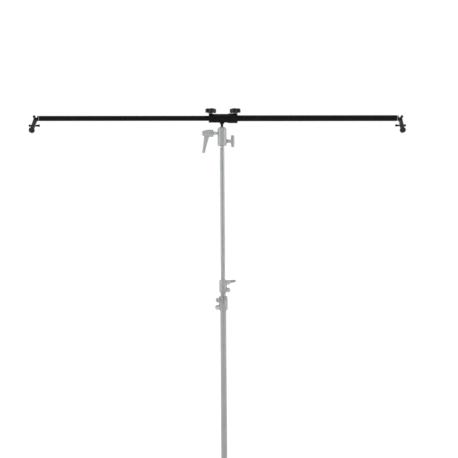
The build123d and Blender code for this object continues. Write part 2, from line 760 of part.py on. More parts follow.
# ------------------------------------------------------------------ crossbar
def center_block():
    """The casting that holds both tubes, with a boss for the stem and two for the knobs."""
    left = Plane(origin=(BLOCK_LEFT, 0, BAR_Z), x_dir=(0, 1, 0), z_dir=(1, 0, 0))
    with BuildPart() as block:
        with BuildSketch(left):
            Circle(BLOCK_R)
        extrude(amount=BLOCK_RIGHT - BLOCK_LEFT)
        with BuildSketch(left.offset(BLOCK_CLAMP_START - BLOCK_LEFT)):
            Circle(BLOCK_CLAMP_R)
        extrude(amount=BLOCK_RIGHT - BLOCK_CLAMP_START)
        chamfer(block.edges().group_by(Axis.X)[-1], 1.5)
        chamfer(block.edges().group_by(Axis.X)[0], 1.5)
        with BuildSketch(left.offset(BLOCK_GROOVE)):
            Circle(BLOCK_R + 1)
            Circle(BLOCK_R - 1.5, mode=Mode.SUBTRACT)
        extrude(amount=3, mode=Mode.SUBTRACT)
        with BuildSketch(Plane.XY.offset(STEM_BOSS_BOTTOM)):
            Circle(STEM_BOSS_R)
        extrude(amount=BLOCK_R, taper=-8)
        for knob_x in KNOB_X.values():
            with BuildSketch(Plane.XY.offset(BAR_Z)):
                with Locations((knob_x, 0)):
                    Circle(KNOB_BOSS_R)
            extrude(amount=KNOB_LIFT - 4)
        with BuildSketch(left):
            Circle(INNER_R + AIR)
        extrude(amount=BLOCK_RIGHT - BLOCK_LEFT, mode=Mode.SUBTRACT)
        with BuildSketch(left.offset(OUTER_START - BLOCK_LEFT)):
            Circle(OUTER_R + SEAT)
        extrude(amount=BLOCK_RIGHT - OUTER_START, mode=Mode.SUBTRACT)
        with BuildSketch(Plane.XY.offset(STEM_BOSS_BOTTOM)):
            Circle(STEM_R + SEAT)
        extrude(amount=BLOCK_R, mode=Mode.SUBTRACT)
        for knob_x in KNOB_X.values():
            with BuildSketch(Plane.XY.offset(BAR_Z)):
                with Locations((knob_x, 0)):
                    Circle(SCREW_R + RUNNING)
            extrude(amount=2 * KNOB_LIFT, mode=Mode.SUBTRACT)
    return block


def block_knob(knob_x, tube_r, turn):
    """A lobed hand knob on a clamping screw."""
    above = Plane(origin=(knob_x, 0, BAR_Z))
    with BuildPart() as knob:
        with BuildSketch(above.offset(KNOB_LIFT)) as grip:
            Circle(KNOB_REACH)
            with PolarLocations(KNOB_REACH + 2, KNOB_LOBES, start_angle=turn + 180 / KNOB_LOBES):
                Circle(KNOB_FLUTE_R, mode=Mode.SUBTRACT)
            fillet(grip.vertices(), 3.5)
        extrude(amount=KNOB_HEIGHT)
        chamfer(knob.edges().group_by(Axis.Z)[-1], 2)
        chamfer(knob.edges().group_by(Axis.Z)[0], 1)
        with BuildSketch(above.offset(KNOB_LIFT - 2)):
            Circle(KNOB_NECK_R)
        extrude(amount=4)
        with BuildSketch(above.offset(tube_r + AIR)):
            Circle(SCREW_R)
        extrude(amount=KNOB_LIFT - tube_r)
    return knob


def along_bar(x, outwards=1):
    """A plane across the bar at x whose normal points out of that end."""
    return Plane(origin=(x, 0, BAR_Z), x_dir=(0, outwards, 0), z_dir=(outwards, 0, 0))


save(center_block(), "center_block")
save(block_knob(KNOB_X["left"], INNER_R, KNOB_TURN["left"]), "block_knob_left")
save(block_knob(KNOB_X["right"], OUTER_R, KNOB_TURN["right"]), "block_knob_right")
save(tube(along_bar(OUTER_START), OUTER_R, OUTER_WALL, OUTER_END - OUTER_START), "outer_tube")
save(tube(along_bar(INNER_END), INNER_R, INNER_WALL, INNER_INSIDE - INNER_END), "inner_tube")

BUSH_R = OUTER_R - OUTER_WALL - GUIDE
BUSH_PLUG_R = INNER_R - INNER_WALL - SEAT
inner_tube_bush = turned(
    along_bar(INNER_INSIDE),
    [(10, -20), (BUSH_PLUG_R, -20), (BUSH_PLUG_R, 0), (BUSH_R, 0), (BUSH_R, 12), (10, 12)],
)
save(inner_tube_bush, "inner_tube_bush")


# ---------------------------------------------------------------- end clamps
# A clip frame stands on the tilt bolt: x to one side, y up the clip, z to the back.
def end_plug(end, tube_r, wall):
    """The plug in the tube's end that the knuckle's spigot turns in."""
    plug_r = tube_r - wall - SEAT
    bore_r = PLUG_BORE_R + RUNNING
    return turned(end, [(bore_r, -PLUG_LENGTH), (plug_r, -PLUG_LENGTH), (plug_r, 0), (bore_r, 0)])


def end_ring(end, tube_r):
    """The bright thrust ring between the tube and the knuckle."""
    ring_r = tube_r - 0.5
    bore_r = PLUG_BORE_R + AIR
    return turned(
        end.offset(TOUCH),
        [
            (bore_r, 0),
            (ring_r - 1, 0),
            (ring_r, 1),
            (ring_r, RING_THICKNESS - 1),
            (ring_r - 1, RING_THICKNESS),
            (bore_r, RING_THICKNESS),
        ],
    )


def clamp_knuckle(end, level):
    """A collar that turns on its spigot in the plug, with a tongue for the tilt bolt."""
    collar_start = RING_THICKNESS + AIR
    collar_end = collar_start + KNUCKLE_THICKNESS
    inwards = 1 if level.x_dir.dot(end.z_dir) < 0 else -1
    tongue_root = TILT_REACH - collar_end + 1
    with BuildPart() as knuckle:
        with BuildSketch(end.offset(collar_start)):
            Circle(KNUCKLE_R)
        extrude(amount=KNUCKLE_THICKNESS)
        with BuildSketch(end.offset(2 - PLUG_LENGTH)):
            Circle(PLUG_BORE_R)
        extrude(amount=PLUG_LENGTH + collar_start)
        with BuildSketch(level):
            Circle(TONGUE_R)
            with Locations((inwards * tongue_root / 2, 0)):
                Rectangle(tongue_root, 2 * TONGUE_R)
        extrude(amount=TONGUE_DEPTH, both=True)
        with BuildSketch(level):
            Circle(SCREW_R + RUNNING)
        extrude(amount=2 * TONGUE_DEPTH, both=True, mode=Mode.SUBTRACT)
    return knuckle


def front_jaw(clip, outwards):
    """The clip's front plate with its nose, web, rear cheek and the ears of the jaw hinge."""
    nose = within(clip, turns=(0, 0, outwards * 45))
    ear_x = (JAW_WIDTH - JAW_EAR) / 2
    with BuildPart() as jaw:
        for depth, bottom in ((-CHEEK_DEPTH, PAD_DROP), (CHEEK_DEPTH + JAW_THICKNESS, WEB_DROP)):
            with BuildSketch(clip.offset(depth)):
                Circle(JAW_WIDTH / 2)
                with Locations((0, -bottom / 2)):
                    Rectangle(JAW_WIDTH, bottom)
            extrude(amount=-JAW_THICKNESS)
        with BuildSketch(within(nose, z=-CHEEK_DEPTH)):
            with Locations((0, NOSE_REACH / 2)):
                Rectangle(NOSE_WIDTH, NOSE_REACH)
            with Locations((0, NOSE_REACH - 2)):
                Circle(NOSE_WIDTH / 2 + 1)
        extrude(amount=-JAW_THICKNESS)
        with BuildSketch(clip.offset(-CHEEK_DEPTH - 1)):
            with Locations((0, -WEB_DROP + 2)):
                Rectangle(JAW_WIDTH, 5)
        extrude(amount=2 * CHEEK_DEPTH + 2)
        for x in (-ear_x, ear_x):
            with BuildSketch(within(clip, x=x, z=JAW_HINGE_DEPTH, turns=(0, 90, 0))):
                with Locations((0, -JAW_HINGE_DROP)):
                    Circle(JAW_HINGE_R)
                with Locations((0, -JAW_HINGE_DROP + 5)):
                    Rectangle(JAW_THICKNESS, 10)
            extrude(amount=JAW_EAR / 2, both=True)
        with BuildSketch(within(clip, z=JAW_HINGE_DEPTH, turns=(0, 90, 0))):
            with Locations((0, -JAW_HINGE_DROP)):
                Circle(TRUNNION_R + RUNNING)
        extrude(amount=JAW_WIDTH, both=True, mode=Mode.SUBTRACT)
        with BuildSketch(clip):
            Circle(SCREW_R + SEAT)
            with Locations((0, -WING_DROP)):
                Circle(WING_SCREW_R + RUNNING)
        extrude(amount=3 * CHEEK_DEPTH, both=True, mode=Mode.SUBTRACT)
    return jaw


def rear_jaw(clip):
    """The plate that closes on the front jaw, on two trunnions at its top."""
    barrel_half = JAW_WIDTH / 2 - JAW_EAR - AIR
    with BuildPart() as jaw:
        with BuildSketch(clip.offset(CHEEK_DEPTH + JAW_THICKNESS)):
            with Locations((0, -(JAW_HINGE_DROP + PAD_DROP) / 2)):
                Rectangle(2 * barrel_half, PAD_DROP - JAW_HINGE_DROP)
            with Locations((0, -(JAW_HINGE_DROP + 8 + PAD_DROP) / 2)):
                Rectangle(JAW_WIDTH, PAD_DROP - JAW_HINGE_DROP - 8)
        extrude(amount=-JAW_THICKNESS)
        with BuildSketch(within(clip, z=JAW_HINGE_DEPTH, turns=(0, 90, 0))):
            with Locations((0, -JAW_HINGE_DROP)):
                Circle(JAW_HINGE_R)
        extrude(amount=barrel_half, both=True)
        with BuildSketch(within(clip, z=JAW_HINGE_DEPTH, turns=(0, 90, 0))):
            with Locations((0, -JAW_HINGE_DROP)):
                Circle(TRUNNION_R)
        extrude(amount=JAW_WIDTH / 2, both=True)
        with BuildSketch(clip):
            with Locations((0, -WING_DROP)):
                SlotOverall(2 * WING_SCREW_R + 4, 2 * WING_SCREW_R + 2, rotation=90)
        extrude(amount=3 * CHEEK_DEPTH, mode=Mode.SUBTRACT)
    return jaw


def jaw_pad(clip, back):
    """A thick rubber disc moulded over the end of a jaw plate; back is +1 or -1."""
    face = JAW_GAP / 2
    plate = clip.offset(back * CHEEK_DEPTH)
    with BuildPart() as pad:
        with BuildSketch(within(clip, y=-PAD_DROP, z=back * face)):
            Circle(PAD_R)
        extrude(amount=back * (CHEEK_DEPTH + JAW_THICKNESS + 2.5 - face))
        outer = pad.faces().filter_by(clip).sort_by(Axis(clip.origin, clip.z_dir))[-1 if back > 0 else 0]
        chamfer(outer.edges(), 1.5)
        with BuildSketch(plate):
            with Locations((0, -SEAT)):
                Rectangle(JAW_WIDTH + 2 * SEAT, 2 * PAD_DROP)
        extrude(amount=back * JAW_THICKNESS, mode=Mode.SUBTRACT)
    return pad


def wing_screw(clip, level):
    """The clamping screw of the jaws with a two-winged grip behind them."""
    screw_start = -CHEEK_DEPTH - JAW_THICKNESS - 1
    neck = CHEEK_DEPTH + JAW_THICKNESS + AIR
    centre = clip.from_local_coords(Vector(0, -WING_DROP, neck + 2))
    grip = Plane(origin=centre, x_dir=level.x_dir, z_dir=level.z_dir)
    wing = barrel(grip.offset(WING_LIFT), WING_SPAN, WING_WAIST_R, WING_TIP_R)
    with BuildPart() as screw:
        add(wing.part)
        with BuildSketch(grip):
            Circle(9)
        extrude(amount=WING_LIFT + 8, taper=5)
        with BuildSketch(grip.offset(-2)):
            Circle(5.5)
        extrude(amount=3)
        with BuildSketch(grip.offset(screw_start - neck - 2)):
            Circle(WING_SCREW_R)
        extrude(amount=neck - screw_start + 1)
    return screw


for side, end_x, radius, wall_thickness in (
    ("right", OUTER_END, OUTER_R, OUTER_WALL),
    ("left", INNER_END, INNER_R, INNER_WALL),
):
    outwards = 1 if side == "right" else -1
    end = along_bar(end_x, outwards)
    level = Plane(
        origin=(end_x + outwards * TILT_REACH, 0, BAR_Z - TILT_DROP),
        x_dir=(-1, 0, 0),
        z_dir=(0, 1, 0),
    )
    clip = within(level, turns=(0, 0, -outwards * CLAMP_TILT[side]))
    save(end_plug(end, radius, wall_thickness), f"{side}_end_plug")
    save(end_ring(end, radius), f"{side}_end_ring")
    save(clamp_knuckle(end, level), f"{side}_clamp_knuckle")
    bolt_head = within(clip, z=-CHEEK_DEPTH - JAW_THICKNESS, turns=(180, 0, 0))
    clip_depth = 2 * (CHEEK_DEPTH + JAW_THICKNESS)
    tilt_bolt = socket_bolt(bolt_head, SCREW_R, clip_depth, BOLT_HEAD_R, TILT_HEAD)
    save(tilt_bolt, f"{side}_tilt_bolt")
    save(front_jaw(clip, outwards), f"{side}_front_jaw")
    save(rear_jaw(clip), f"{side}_rear_jaw")
    save(jaw_pad(clip, -1), f"{side}_front_pad")
    save(jaw_pad(clip, 1), f"{side}_rear_pad")
    save(wing_screw(clip, level), f"{side}_wing_screw")
    spring_foot = within(clip, y=-WING_DROP, z=TOUCH - CHEEK_DEPTH)
    jaw_spring = coil(
        spring_foot, JAW_SPRING_R, JAW_SPRING_WIRE_R, JAW_SPRING_TURNS, JAW_SPRING_LENGTH
    )
    save(jaw_spring, f"{side}_jaw_spring")
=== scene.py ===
"""The looks of a C-stand whose ball head carries a telescopic crossbar.

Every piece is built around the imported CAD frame: places come from its nodes and
joints, in metres, with +Z up, the crossbar along X and the viewer on the -Y side.
"""
import json
from math import ceil, cos, pi, radians, sin, sqrt, tan, tau

import bmesh
import bpy
from mathutils import Matrix, Vector


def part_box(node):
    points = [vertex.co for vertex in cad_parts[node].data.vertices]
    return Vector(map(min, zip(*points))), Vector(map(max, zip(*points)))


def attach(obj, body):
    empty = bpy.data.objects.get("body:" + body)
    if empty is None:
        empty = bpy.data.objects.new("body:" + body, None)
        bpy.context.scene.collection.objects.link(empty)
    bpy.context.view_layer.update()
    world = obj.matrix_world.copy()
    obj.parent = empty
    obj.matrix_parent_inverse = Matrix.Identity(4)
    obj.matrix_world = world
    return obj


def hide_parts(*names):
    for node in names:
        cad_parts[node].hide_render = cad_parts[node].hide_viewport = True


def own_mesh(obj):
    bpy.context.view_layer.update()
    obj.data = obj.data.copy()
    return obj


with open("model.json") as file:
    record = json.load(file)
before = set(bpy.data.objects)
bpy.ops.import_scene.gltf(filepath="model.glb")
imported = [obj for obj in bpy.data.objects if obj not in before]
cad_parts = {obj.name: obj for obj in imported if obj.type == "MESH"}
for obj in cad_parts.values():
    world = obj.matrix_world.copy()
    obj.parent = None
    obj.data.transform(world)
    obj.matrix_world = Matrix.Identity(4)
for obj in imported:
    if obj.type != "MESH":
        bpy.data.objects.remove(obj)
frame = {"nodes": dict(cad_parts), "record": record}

MM = 0.001
RECORD = frame["record"]
BODY_OF = {node: body for body, nodes in RECORD["behaviour"]["bodies"].items() for node in nodes}
SLOT_OF = {part["node"]: part["material_slot"] for part in RECORD["subparts"]}
JOINTS = {joint["name"]: joint for joint in RECORD["behaviour"]["joints"]}
SIDES = ("right", "left")
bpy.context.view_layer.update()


# ------------------------------------------------------------- camera and light
# The camera stands level, a little to the left of square on, and sees the stand
# from above its base to above the crossbar.
LENS = 70.0
SENSOR = 36.0
CAMERA_DISTANCE = 5.21
CAMERA_HEIGHT = 1.632
CAMERA_SHIFT = 0.037  # sideways, so that the stand is left of the middle
CAMERA_AZIMUTH = radians(2.75)
CAMERA_ROLL = radians(-0.4)  # the crossbar's left end hangs lower
BACKDROP = 1.02  # brightness of what the camera sees behind the object
ROOM_TINT = (0.95, 0.98, 1, 1)
ROOM_FRONT = 0.35  # brightness of the room behind the viewer
ROOM_BACK = 0.9
ROOM_FADE = (-0.7, 0.5)  # how far towards and away from the viewer the one gives way to the other
# Each softbox's place, what it points at, its width and height in metres, and its watts
SOFTBOXES = {
    "softbox_left": ((-3.4, -1.2, 2.4), (0, 0, 1.9), (1.4, 2.6), 45),
    "softbox_right": ((3.4, -1.2, 2.4), (0, 0, 1.9), (1.4, 2.6), 45),
    "softbox_top": ((0, -0.4, 5.2), (0, 0, 1.5), (4.0, 3.0), 60),
}


def add_camera():
    data = bpy.data.cameras.new("camera")
    data.lens = LENS
    data.sensor_width = SENSOR
    camera = bpy.data.objects.new("camera", data)
    bpy.context.scene.collection.objects.link(camera)
    ahead = Vector((sin(CAMERA_AZIMUTH), cos(CAMERA_AZIMUTH), 0))
    right = Vector((cos(CAMERA_AZIMUTH), -sin(CAMERA_AZIMUTH), 0))
    camera.location = right * CAMERA_SHIFT - ahead * CAMERA_DISTANCE + Vector((0, 0, CAMERA_HEIGHT))
    level = Matrix((right, (0, 0, 1), -ahead)).transposed()
    camera.rotation_euler = (level @ Matrix.Rotation(CAMERA_ROLL, 3, "Z")).to_euler()
    bpy.context.scene.camera = camera


def add_softbox(name, place, aim, size, watts):
    data = bpy.data.lights.new(name, "AREA")
    data.shape = "RECTANGLE"
    data.size, data.size_y = size
    data.energy = watts
    light = bpy.data.objects.new(name, data)
    bpy.context.scene.collection.objects.link(light)
    light.location = place
    light.rotation_euler = (Vector(aim) - Vector(place)).to_track_quat("-Z", "Y").to_euler()


def add_world():
    """White to the camera; what lights the object is a room that is dim on the viewer's side."""
    world = bpy.data.worlds.new("studio")
    bpy.context.scene.world = world
    world.use_nodes = True
    nodes, links = world.node_tree.nodes, world.node_tree.links
    seen = nodes["Background"]
    seen.inputs["Color"].default_value = (1, 1, 1, 1)
    seen.inputs["Strength"].default_value = BACKDROP
    room = nodes.new("ShaderNodeBackground")
    room.inputs["Color"].default_value = ROOM_TINT
    direction = nodes.new("ShaderNodeSeparateXYZ")
    links.new(nodes.new("ShaderNodeTexCoord").outputs["Generated"], direction.inputs["Vector"])
    depth = nodes.new("ShaderNodeMapRange")
    depth.inputs["From Min"].default_value = ROOM_FADE[0]
    depth.inputs["From Max"].default_value = ROOM_FADE[1]
    depth.inputs["To Min"].default_value = ROOM_FRONT
    depth.inputs["To Max"].default_value = ROOM_BACK
    links.new(direction.outputs["Y"], depth.inputs["Value"])
    links.new(depth.outputs["Result"], room.inputs["Strength"])
    ray = nodes.new("ShaderNodeLightPath")
    mix = nodes.new("ShaderNodeMixShader")
    links.new(ray.outputs["Is Camera Ray"], mix.inputs["Fac"])
    links.new(room.outputs["Background"], mix.inputs[1])
    links.new(seen.outputs["Background"], mix.inputs[2])
    links.new(mix.outputs["Shader"], nodes["World Output"].inputs["Surface"])


# -------------------------------------------------------------------- materials
def srgb(red, green, blue):
    """A linear RGBA colour from 0 to 255 display values."""
    def linear(value):
        value /= 255
        return value / 12.92 if value <= 0.04045 else ((value + 0.055) / 1.055) ** 2.4

    return (linear(red), linear(green), linear(blue), 1)


class Finish:
    """A Principled material with the few node recipes that the finishes share."""

    def __init__(self, name, metallic=0.0, specular=0.5, coat=0.0, coat_roughness=0.2):
        self.material = bpy.data.materials.new(name)
        self.material.use_nodes = True
        self.nodes = self.material.node_tree.nodes
        self.links = self.material.node_tree.links
        self.shader = self.nodes["Principled BSDF"]
        self.shader.inputs["Metallic"].default_value = metallic
        self.shader.inputs["Specular IOR Level"].default_value = specular
        self.shader.inputs["Coat Weight"].default_value = coat
        self.shader.inputs["Coat Roughness"].default_value = coat_roughness
        self.place = self.nodes.new("ShaderNodeTexCoord").outputs["Object"]
        self.normal = None

    def noise(self, size, detail=3.0, stretch=(1, 1, 1), offset=0.0):
        """Noise with features of about size metres, stretched along an axis."""
        mapping = self.nodes.new("ShaderNodeMapping")
        mapping.inputs["Scale"].default_value = [1 / value for value in stretch]
        mapping.inputs["Location"].default_value = (offset, offset, offset)
        texture = self.nodes.new("ShaderNodeTexNoise")
        texture.inputs["Scale"].default_value = 1 / size
        texture.inputs["Detail"].default_value = detail
        self.links.new(self.place, mapping.inputs["Vector"])
        self.links.new(mapping.outputs["Vector"], texture.inputs["Vector"])
        return texture.outputs["Fac"]

    def cells(self, size):
        """The distance to the nearest of many scattered points, size metres apart."""
        texture = self.nodes.new("ShaderNodeTexVoronoi")
        texture.inputs["Scale"].default_value = 1 / size
        self.links.new(self.place, texture.inputs["Vector"])
        return texture.outputs["Distance"]

    def edges(self, low, high):
        """1 along convex edges, 0 on flats."""
        point = self.nodes.new("ShaderNodeNewGeometry").outputs["Pointiness"]
        return self.ramp(point, low, high, 0, 1)

    def ramp(self, value, low, high, out_low, out_high):
        node = self.nodes.new("ShaderNodeMapRange")
        node.inputs["From Min"].default_value = low
        node.inputs["From Max"].default_value = high
        node.inputs["To Min"].default_value = out_low
        node.inputs["To Max"].default_value = out_high
        self.links.new(value, node.inputs["Value"])
        return node.outputs["Result"]

    def times(self, one, other):
        node = self.nodes.new("ShaderNodeMath")
        node.operation = "MULTIPLY"
        self.links.new(one, node.inputs[0])
        self.links.new(other, node.inputs[1])
        return node.outputs["Value"]

    def mix(self, mask, one, other):
        """A colour between two, each a colour or a node's output."""
        node = self.nodes.new("ShaderNodeMix")
        node.data_type = "RGBA"
        self.links.new(mask, node.inputs["Factor"])
        for socket, value in ((node.inputs[6], one), (node.inputs[7], other)):
            if isinstance(value, tuple):
                socket.default_value = value
            else:
                self.links.new(value, socket)
        return node.outputs[2]

    def colour(self, value):
        self.links.new(value, self.shader.inputs["Base Color"])

    def rough(self, value):
        self.links.new(value, self.shader.inputs["Roughness"])

    def bump(self, height, depth, strength=1.0):
        """Adds a bump of depth metres on top of the bumps made so far."""
        node = self.nodes.new("ShaderNodeBump")
        node.inputs["Distance"].default_value = depth
        node.inputs["Strength"].default_value = strength
        self.links.new(height, node.inputs["Height"])
        if self.normal:
            self.links.new(self.normal, node.inputs["Normal"])
        self.normal = node.outputs["Normal"]
        self.links.new(self.normal, self.shader.inputs["Normal"])


def cast_paint(name, light, dark, worn):
    """Satin paint on a casting: orange peel, faint mottling, edges rubbed bright."""
    finish = Finish(name, metallic=0.25, specular=0.5, coat=0.15, coat_roughness=0.3)
    body = finish.mix(finish.ramp(finish.noise(9 * MM, 4), 0.3, 0.7, 0, 1), dark, light)
    wear = finish.times(
        finish.edges(0.53, 0.6),
        finish.ramp(finish.noise(4 * MM, 5, offset=3.0), 0.42, 0.62, 0, 0.8),
    )
    finish.colour(finish.mix(wear, body, worn))
    finish.rough(finish.ramp(finish.noise(5 * MM, 3, offset=7.0), 0.3, 0.7, 0.42, 0.52))
    finish.bump(finish.noise(0.9 * MM, 2), 0.04 * MM, 0.4)
    finish.bump(finish.noise(6 * MM, 2, offset=5.0), 0.08 * MM, 0.25)
    return finish.material


def tube_metal(name, light, dark, axis, metallic, specular, rough_low, rough_high):
    """A drawn tube: fine lines along its axis and faint sliding marks around it."""
    finish = Finish(name, metallic=metallic, specular=specular)
    along = [1.0, 1.0, 1.0]
    along["XYZ".index(axis)] = 60.0
    around = [14.0, 14.0, 14.0]
    around["XYZ".index(axis)] = 1.0
    lines = finish.noise(0.7 * MM, 3, stretch=along)
    marks = finish.noise(2.2 * MM, 4, stretch=around, offset=2.0)
    cloud = finish.noise(60 * MM, 3, offset=4.0)
    finish.colour(finish.mix(finish.ramp(cloud, 0.3, 0.7, 0, 1), dark, light))
    tone = finish.ramp(finish.times(lines, marks), 0.15, 0.4, rough_low, rough_high)
    finish.rough(tone)
    finish.bump(lines, 0.006 * MM, 0.12)
    finish.bump(finish.ramp(marks, 0.62, 0.75, 0, 1), 0.005 * MM, 0.12)
    return finish.material


def bright_metal(name, light, dark, rough_low=0.26, rough_high=0.36):
    """Plated steel with turning lines too fine to see singly, and handling marks."""
    finish = Finish(name, metallic=1.0)
    finish.colour(finish.mix(finish.ramp(finish.noise(7 * MM, 5), 0.35, 0.65, 0, 1), dark, light))
    finish.rough(finish.ramp(finish.noise(1.6 * MM, 4, offset=1.0), 0.3, 0.7, rough_low, rough_high))
    finish.bump(finish.noise(0.4 * MM, 3), 0.004 * MM, 0.2)
    return finish.material


def powder_coat(name, light, dark):
    """Coarse black powder coat, as granular as fine sandpaper."""
    finish = Finish(name, specular=0.07)
    grain = finish.cells(1.1 * MM)
    fleck = finish.ramp(grain, 0.15, 0.6, 1, 0)
    body = finish.mix(finish.ramp(finish.noise(14 * MM, 3), 0.3, 0.7, 0, 1), dark, light)
    rub = finish.ramp(finish.noise(3 * MM, 4), 0.5, 0.7, 0, 0.5)
    wear = finish.times(finish.edges(0.54, 0.62), rub)
    finish.colour(finish.mix(wear, body, srgb(88, 88, 92)))
    finish.rough(finish.ramp(grain, 0.1, 0.6, 0.42, 0.62))
    finish.bump(fleck, 0.1 * MM, 0.6)
    finish.bump(finish.noise(0.45 * MM, 3, offset=2.0), 0.04 * MM, 0.5)
    return finish.material


def moulded_plastic(name, light, dark, rough_low, rough_high, coat):
    """Hard black plastic: gloss with a faint moulded texture and a few scuffs."""
    finish = Finish(name, specular=0.22, coat=coat, coat_roughness=0.15)
    finish.colour(finish.mix(finish.ramp(finish.noise(10 * MM, 4), 0.3, 0.7, 0, 1), dark, light))
    scuff = finish.noise(3 * MM, 6, offset=9.0)
    finish.rough(finish.ramp(scuff, 0.35, 0.7, rough_low, rough_high))
    finish.bump(finish.noise(0.5 * MM, 2), 0.012 * MM, 0.3)
    return finish.material


def soft_rubber(name, light, dark):
    """Matt moulded rubber with a dusty bloom in its hollows."""
    finish = Finish(name, specular=0.3)
    bloom = finish.ramp(finish.noise(5 * MM, 5), 0.35, 0.7, 0, 1)
    finish.colour(finish.mix(bloom, dark, light))
    finish.rough(finish.ramp(finish.noise(2 * MM, 4, offset=3.0), 0.3, 0.7, 0.62, 0.85))
    finish.bump(finish.noise(0.6 * MM, 4), 0.09 * MM, 0.7)
    return finish.material


def sheet_paint(name, light, dark, worn):
    """Thin blue-grey paint over pressed steel, rubbed through at the edges."""
    finish = Finish(name, metallic=0.35, specular=0.5, coat=0.2, coat_roughness=0.25)
    body = finish.mix(finish.ramp(finish.noise(6 * MM, 4), 0.3, 0.7, 0, 1), dark, light)
    rub = finish.ramp(finish.noise(2.5 * MM, 5), 0.45, 0.65, 0, 0.9)
    wear = finish.times(finish.edges(0.53, 0.6), rub)
    finish.colour(finish.mix(wear, body, worn))
    finish.rough(finish.ramp(finish.noise(3 * MM, 4, offset=4.0), 0.3, 0.7, 0.32, 0.5))
    finish.bump(finish.noise(0.7 * MM, 3), 0.04 * MM, 0.5)
    return finish.material


def floor_paint():
    """A studio floor painted matt white, with a painted glow of its own that rises to the backdrop's
    white further out.
    """
    finish = Finish("studio_floor", specular=0.2)
    finish.colour(finish.mix(finish.noise(0.4, 3), srgb(244, 244, 245), srgb(248, 248, 248)))
    finish.rough(finish.ramp(finish.noise(0.05, 3), 0.3, 0.7, 0.75, 0.85))
    finish.shader.inputs["Emission Color"].default_value = (1, 1, 1, 1)
    # Painted light: the floor emits a glow, faint near the stand and stronger further out, in place of
    # lamps lighting it
    reach = finish.nodes.new("ShaderNodeVectorMath")
    reach.operation = "LENGTH"
    finish.links.new(finish.place, reach.inputs[0])
    painted_glow = finish.ramp(reach.outputs["Value"], 0.8, 5.0, 0.12, 0.5)
    finish.links.new(painted_glow, finish.shader.inputs["Emission Strength"])
    return finish.material


GREY_LIGHT, GREY_DARK, GREY_WORN = srgb(164, 165, 166), srgb(156, 157, 158), srgb(190, 190, 190)
FITTING_LIGHT, FITTING_DARK, FITTING_WORN = srgb(166, 166, 166), srgb(158, 158, 158), srgb(192, 192, 190)
STEEL_LIGHT, STEEL_DARK = srgb(214, 215, 214), srgb(176, 178, 178)
BARE_LIGHT, BARE_DARK = srgb(222, 222, 224), srgb(212, 212, 214)
BLACK_LIGHT, BLACK_DARK = srgb(19, 20, 23), srgb(12, 13, 15)
PLASTIC_LIGHT, PLASTIC_DARK = srgb(24, 26, 29), srgb(16, 17, 20)

MATERIALS = {
    "stand_grey": cast_paint("stand_casting", GREY_LIGHT, GREY_DARK, GREY_WORN),
    "stand_fitting": cast_paint("stand_fitting", FITTING_LIGHT, FITTING_DARK, FITTING_WORN),
    "stand_tube": tube_metal("stand_tube", GREY_LIGHT, GREY_DARK, "Z", 0.35, 0.3, 0.34, 0.46),
    "leg_tube": tube_metal("leg_tube", GREY_LIGHT, GREY_DARK, "X", 0.35, 0.3, 0.34, 0.46),
    "plated_steel": bright_metal("plated_steel", STEEL_LIGHT, STEEL_DARK),
    "machined": bright_metal("machined_aluminium", BARE_LIGHT, BARE_DARK, 0.3, 0.38),
    "dull_plate": bright_metal("dull_plated_ring", srgb(150, 151, 152), srgb(128, 129, 131), 0.4, 0.58),
    "spring_steel": bright_metal("spring_steel", srgb(150, 150, 154), srgb(112, 112, 118), 0.25, 0.42),
    "black_tube": tube_metal("black_anodised_tube", BLACK_LIGHT, BLACK_DARK, "X", 0.0, 0.07, 0.4, 0.46),
    "black_casting": powder_coat("black_powder_coat", BLACK_LIGHT, BLACK_DARK),
    "black_steel": tube_metal("black_oxide_steel", BLACK_LIGHT, BLACK_DARK, "Z", 0.0, 0.2, 0.38, 0.48),
    "black_plastic": moulded_plastic("black_moulding", PLASTIC_LIGHT, PLASTIC_DARK, 0.26, 0.34, 0.12),
    "nylon": moulded_plastic("grey_nylon", srgb(84, 84, 84), srgb(66, 66, 66), 0.38, 0.55, 0.0),
    "clip_steel": sheet_paint("clip_paint", srgb(40, 47, 55), srgb(30, 36, 43), srgb(104, 108, 112)),
    "rubber": soft_rubber("black_rubber", srgb(34, 37, 40), srgb(22, 24, 27)),
}


# ------------------------------------------------------------------ mesh helpers
WELD_GAP = 0.002  # corners closer than this, in mm, are one
CASTING_KEPT = 0.4  # the share of a casting's faces that are kept once it is smooth
FLAT_ANGLE = radians(0.5)  # faces within this of each other are one
EDGE_ANGLE = radians(35)  # a sharper edge than this gets a round
EDGE_ROUND = 0.35  # on a turned piece's edges


def add_piece(name, mesh, body, material, replaced=()):
    """Puts a finished mesh in the scene as a named piece of the object."""
    piece = bpy.data.objects.new(name, mesh)
    bpy.context.scene.collection.objects.link(piece)
    mesh.materials.clear()
    mesh.materials.append(material)
    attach(piece, body)
    if replaced:
        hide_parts(*replaced)
    return piece


def smooth_by_angle(mesh, degrees=35):
    mesh.polygons.foreach_set("use_smooth", [True] * len(mesh.polygons))
    mesh.set_sharp_from_angle(angle=radians(degrees))


def frozen(mesh, add_modifiers):
    """The mesh after modifiers, which add_modifiers puts on a passing object."""
    passing = bpy.data.objects.new("passing", mesh)
    bpy.context.scene.collection.objects.link(passing)
    add_modifiers(passing)
    graph = bpy.context.evaluated_depsgraph_get()
    result = bpy.data.meshes.new_from_object(passing.evaluated_get(graph))
    bpy.data.objects.remove(passing)
    return result


def welded(node):
    """A CAD node's mesh as one closed skin, with no doubled corners."""
    mesh = frame["nodes"][node].data.copy()
    sharp = mesh.attributes.get("sharp_edge")
    if sharp:
        mesh.attributes.remove(sharp)
    skin = bmesh.new()
    skin.from_mesh(mesh)
    bmesh.ops.remove_doubles(skin, verts=skin.verts, dist=WELD_GAP * MM)
    skin.to_mesh(mesh)
    skin.free()
    return mesh


